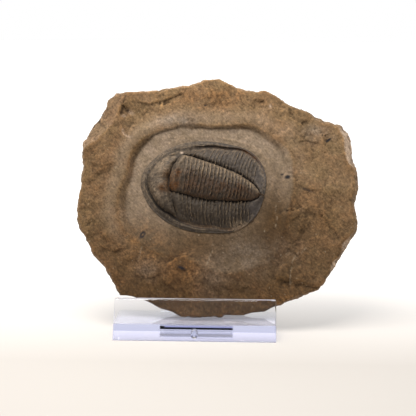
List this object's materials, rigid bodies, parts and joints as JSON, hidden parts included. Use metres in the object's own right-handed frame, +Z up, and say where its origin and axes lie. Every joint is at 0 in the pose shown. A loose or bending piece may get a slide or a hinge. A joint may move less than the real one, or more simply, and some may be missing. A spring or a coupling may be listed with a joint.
{
  "type": "trilobite fossil on a stand",
  "caption": "Trilobite fossil in a broken slab of brown shale, leaning back on a clear moulded stand that holds it upright for display.",
  "frame": {"origin": "centre of the whole object's footprint, on the surface that the stand rests on", "axes": "+Z up, the fossil faces -Y, +X to the viewer's right"},
  "size_m": [0.1704, 0.0786, 0.1486],
  "materials": {
    "shale": "split and chipped brown shale, matt",
    "fossil_shell": "dark mineral shell, prepared and slightly satin",
    "clear_acrylic": "clear moulded acrylic, polished"
  },
  "bodies": {
    "root": {"shale_slab": "shale", "trilobite": "fossil_shell", "clear_stand": "clear_acrylic"}
  },
  "joints": []
}
